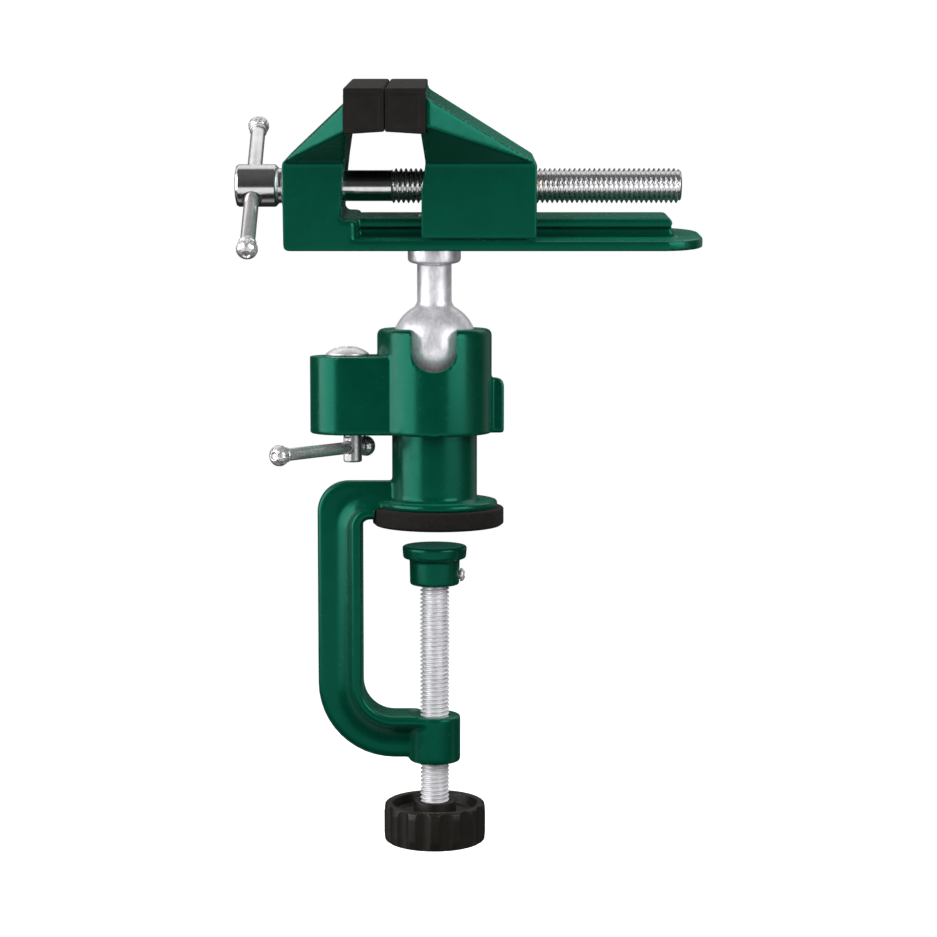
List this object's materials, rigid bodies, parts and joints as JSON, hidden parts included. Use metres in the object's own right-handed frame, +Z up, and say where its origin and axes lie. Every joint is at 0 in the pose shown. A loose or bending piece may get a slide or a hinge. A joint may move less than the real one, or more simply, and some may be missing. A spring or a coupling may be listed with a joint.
{
  "type": "universal bench vise",
  "caption": "Clamp-on bench vise: C clamp with column, lever-locked swivelling ball socket, and a tilting screw vise head with slip-on jaw caps.",
  "frame": {"origin": "on the column's axis, at the underside of the rubber pad that rests on the table", "axes": "+Z up along the column; +X along the jaw screw, away from its T handle; -Y towards the housing's tilt notch"},
  "size_m": [0.1889, 0.0786, 0.3169],
  "materials": {
    "cast_green": "deep green powder coat, semi-gloss",
    "table_rubber": "matt black rubber",
    "cap_plastic": "matt soft black plastic",
    "knob_plastic": "black moulded plastic, satin",
    "bright_steel": "bright nickel-chrome plate",
    "zinc_steel": "zinc plated",
    "shaft_steel": "dull dark zinc",
    "raw_alloy": "raw casting, satin",
    "brass": "turned, satin"
  },
  "bodies": {
    "frame": {"clamp_frame": "cast_green", "table_pad": "table_rubber", "ball_seat": "brass"},
    "swivel": {"swivel_pad": "cast_green", "pad_keeper_screw": "bright_steel"},
    "spindle": {"clamp_spindle": "zinc_steel", "clamp_knob": "knob_plastic"},
    "housing": {"socket_housing": "cast_green"},
    "lock": {"lock_shaft": "shaft_steel", "lock_shaft_screw": "bright_steel"},
    "shoe": {"lock_shoe": "shaft_steel"},
    "lever": {"lever_bar": "bright_steel", "lever_knob_far": "bright_steel", "lever_knob_near": "bright_steel"},
    "stud": {"ball_stud": "raw_alloy"},
    "head": {"fixed_jaw": "cast_green", "fixed_jaw_cap": "cap_plastic", "stud_bolt": "zinc_steel", "thrust_washer": "zinc_steel"},
    "slide_jaw": {"moving_jaw": "cast_green", "moving_jaw_cap": "cap_plastic", "lead_nut": "brass"},
    "jaw_screw": {"main_screw": "bright_steel", "retaining_ring": "shaft_steel"},
    "handle": {"handle_bar": "bright_steel", "handle_knob_front": "bright_steel", "handle_knob_back": "bright_steel"}
  },
  "joints": [
    {"name": "housing_swivel", "type": "hinge", "parent": "frame", "child": "housing", "pos_m": [0, 0, 0.0595], "axis": [0, 0, 1], "continuous": true},
    {"name": "lock_shaft_turn", "type": "hinge", "parent": "housing", "child": "lock", "pos_m": [-0.0357, 0, 0.053], "axis": [0, 0, 1], "range_deg": [-65, 0]},
    {"name": "lock_shoe_slide", "type": "slide", "parent": "housing", "child": "shoe", "axis": [1, 0, 0], "range_m": [-0.0005, 0]},
    {"name": "lever_slide", "type": "slide", "parent": "lock", "child": "lever", "axis": [0.5976, 0.8018, 0], "range_m": [0, 0.0373]},
    {"name": "ball_tilt", "type": "hinge", "parent": "housing", "child": "stud", "pos_m": [0, 0, 0.0743], "axis": [1, 0, 0], "range_deg": [-37, 83]},
    {"name": "head_spin", "type": "hinge", "parent": "stud", "child": "head", "pos_m": [0, -0.00502, 0.11519], "axis": [0, -0.1219, 0.9925], "continuous": true},
    {"name": "main_screw_turn", "type": "hinge", "parent": "head", "child": "jaw_screw", "pos_m": [-0.06, -0.00791, 0.13872], "axis": [1, 0, 0], "range_deg": [-10440, 0]},
    {"name": "jaw_slide", "type": "slide", "parent": "head", "child": "slide_jaw", "axis": [1, 0, 0], "range_m": [0, 0.058]},
    {"name": "handle_slide", "type": "slide", "parent": "jaw_screw", "child": "handle", "axis": [0, -0.7501, -0.6613], "range_m": [-0.025, 0.025]},
    {"name": "pad_slide", "type": "slide", "parent": "frame", "child": "swivel", "axis": [0, 0, 1], "range_m": [-0.05425, 0.00875]},
    {"name": "spindle_turn", "type": "hinge", "parent": "swivel", "child": "spindle", "pos_m": [0, 0, -0.08], "axis": [0, 0, 1], "range_deg": [-11160, 1800]}
  ],
  "couplings": [
    {"joint": "lock_shoe_slide", "follows": "lock_shaft_turn", "m_per_rad": 0.00044},
    {"joint": "main_screw_turn", "follows": "jaw_slide", "rad_per_m": -3141.6},
    {"joint": "spindle_turn", "follows": "pad_slide", "rad_per_m": 3590.4}
  ]
}
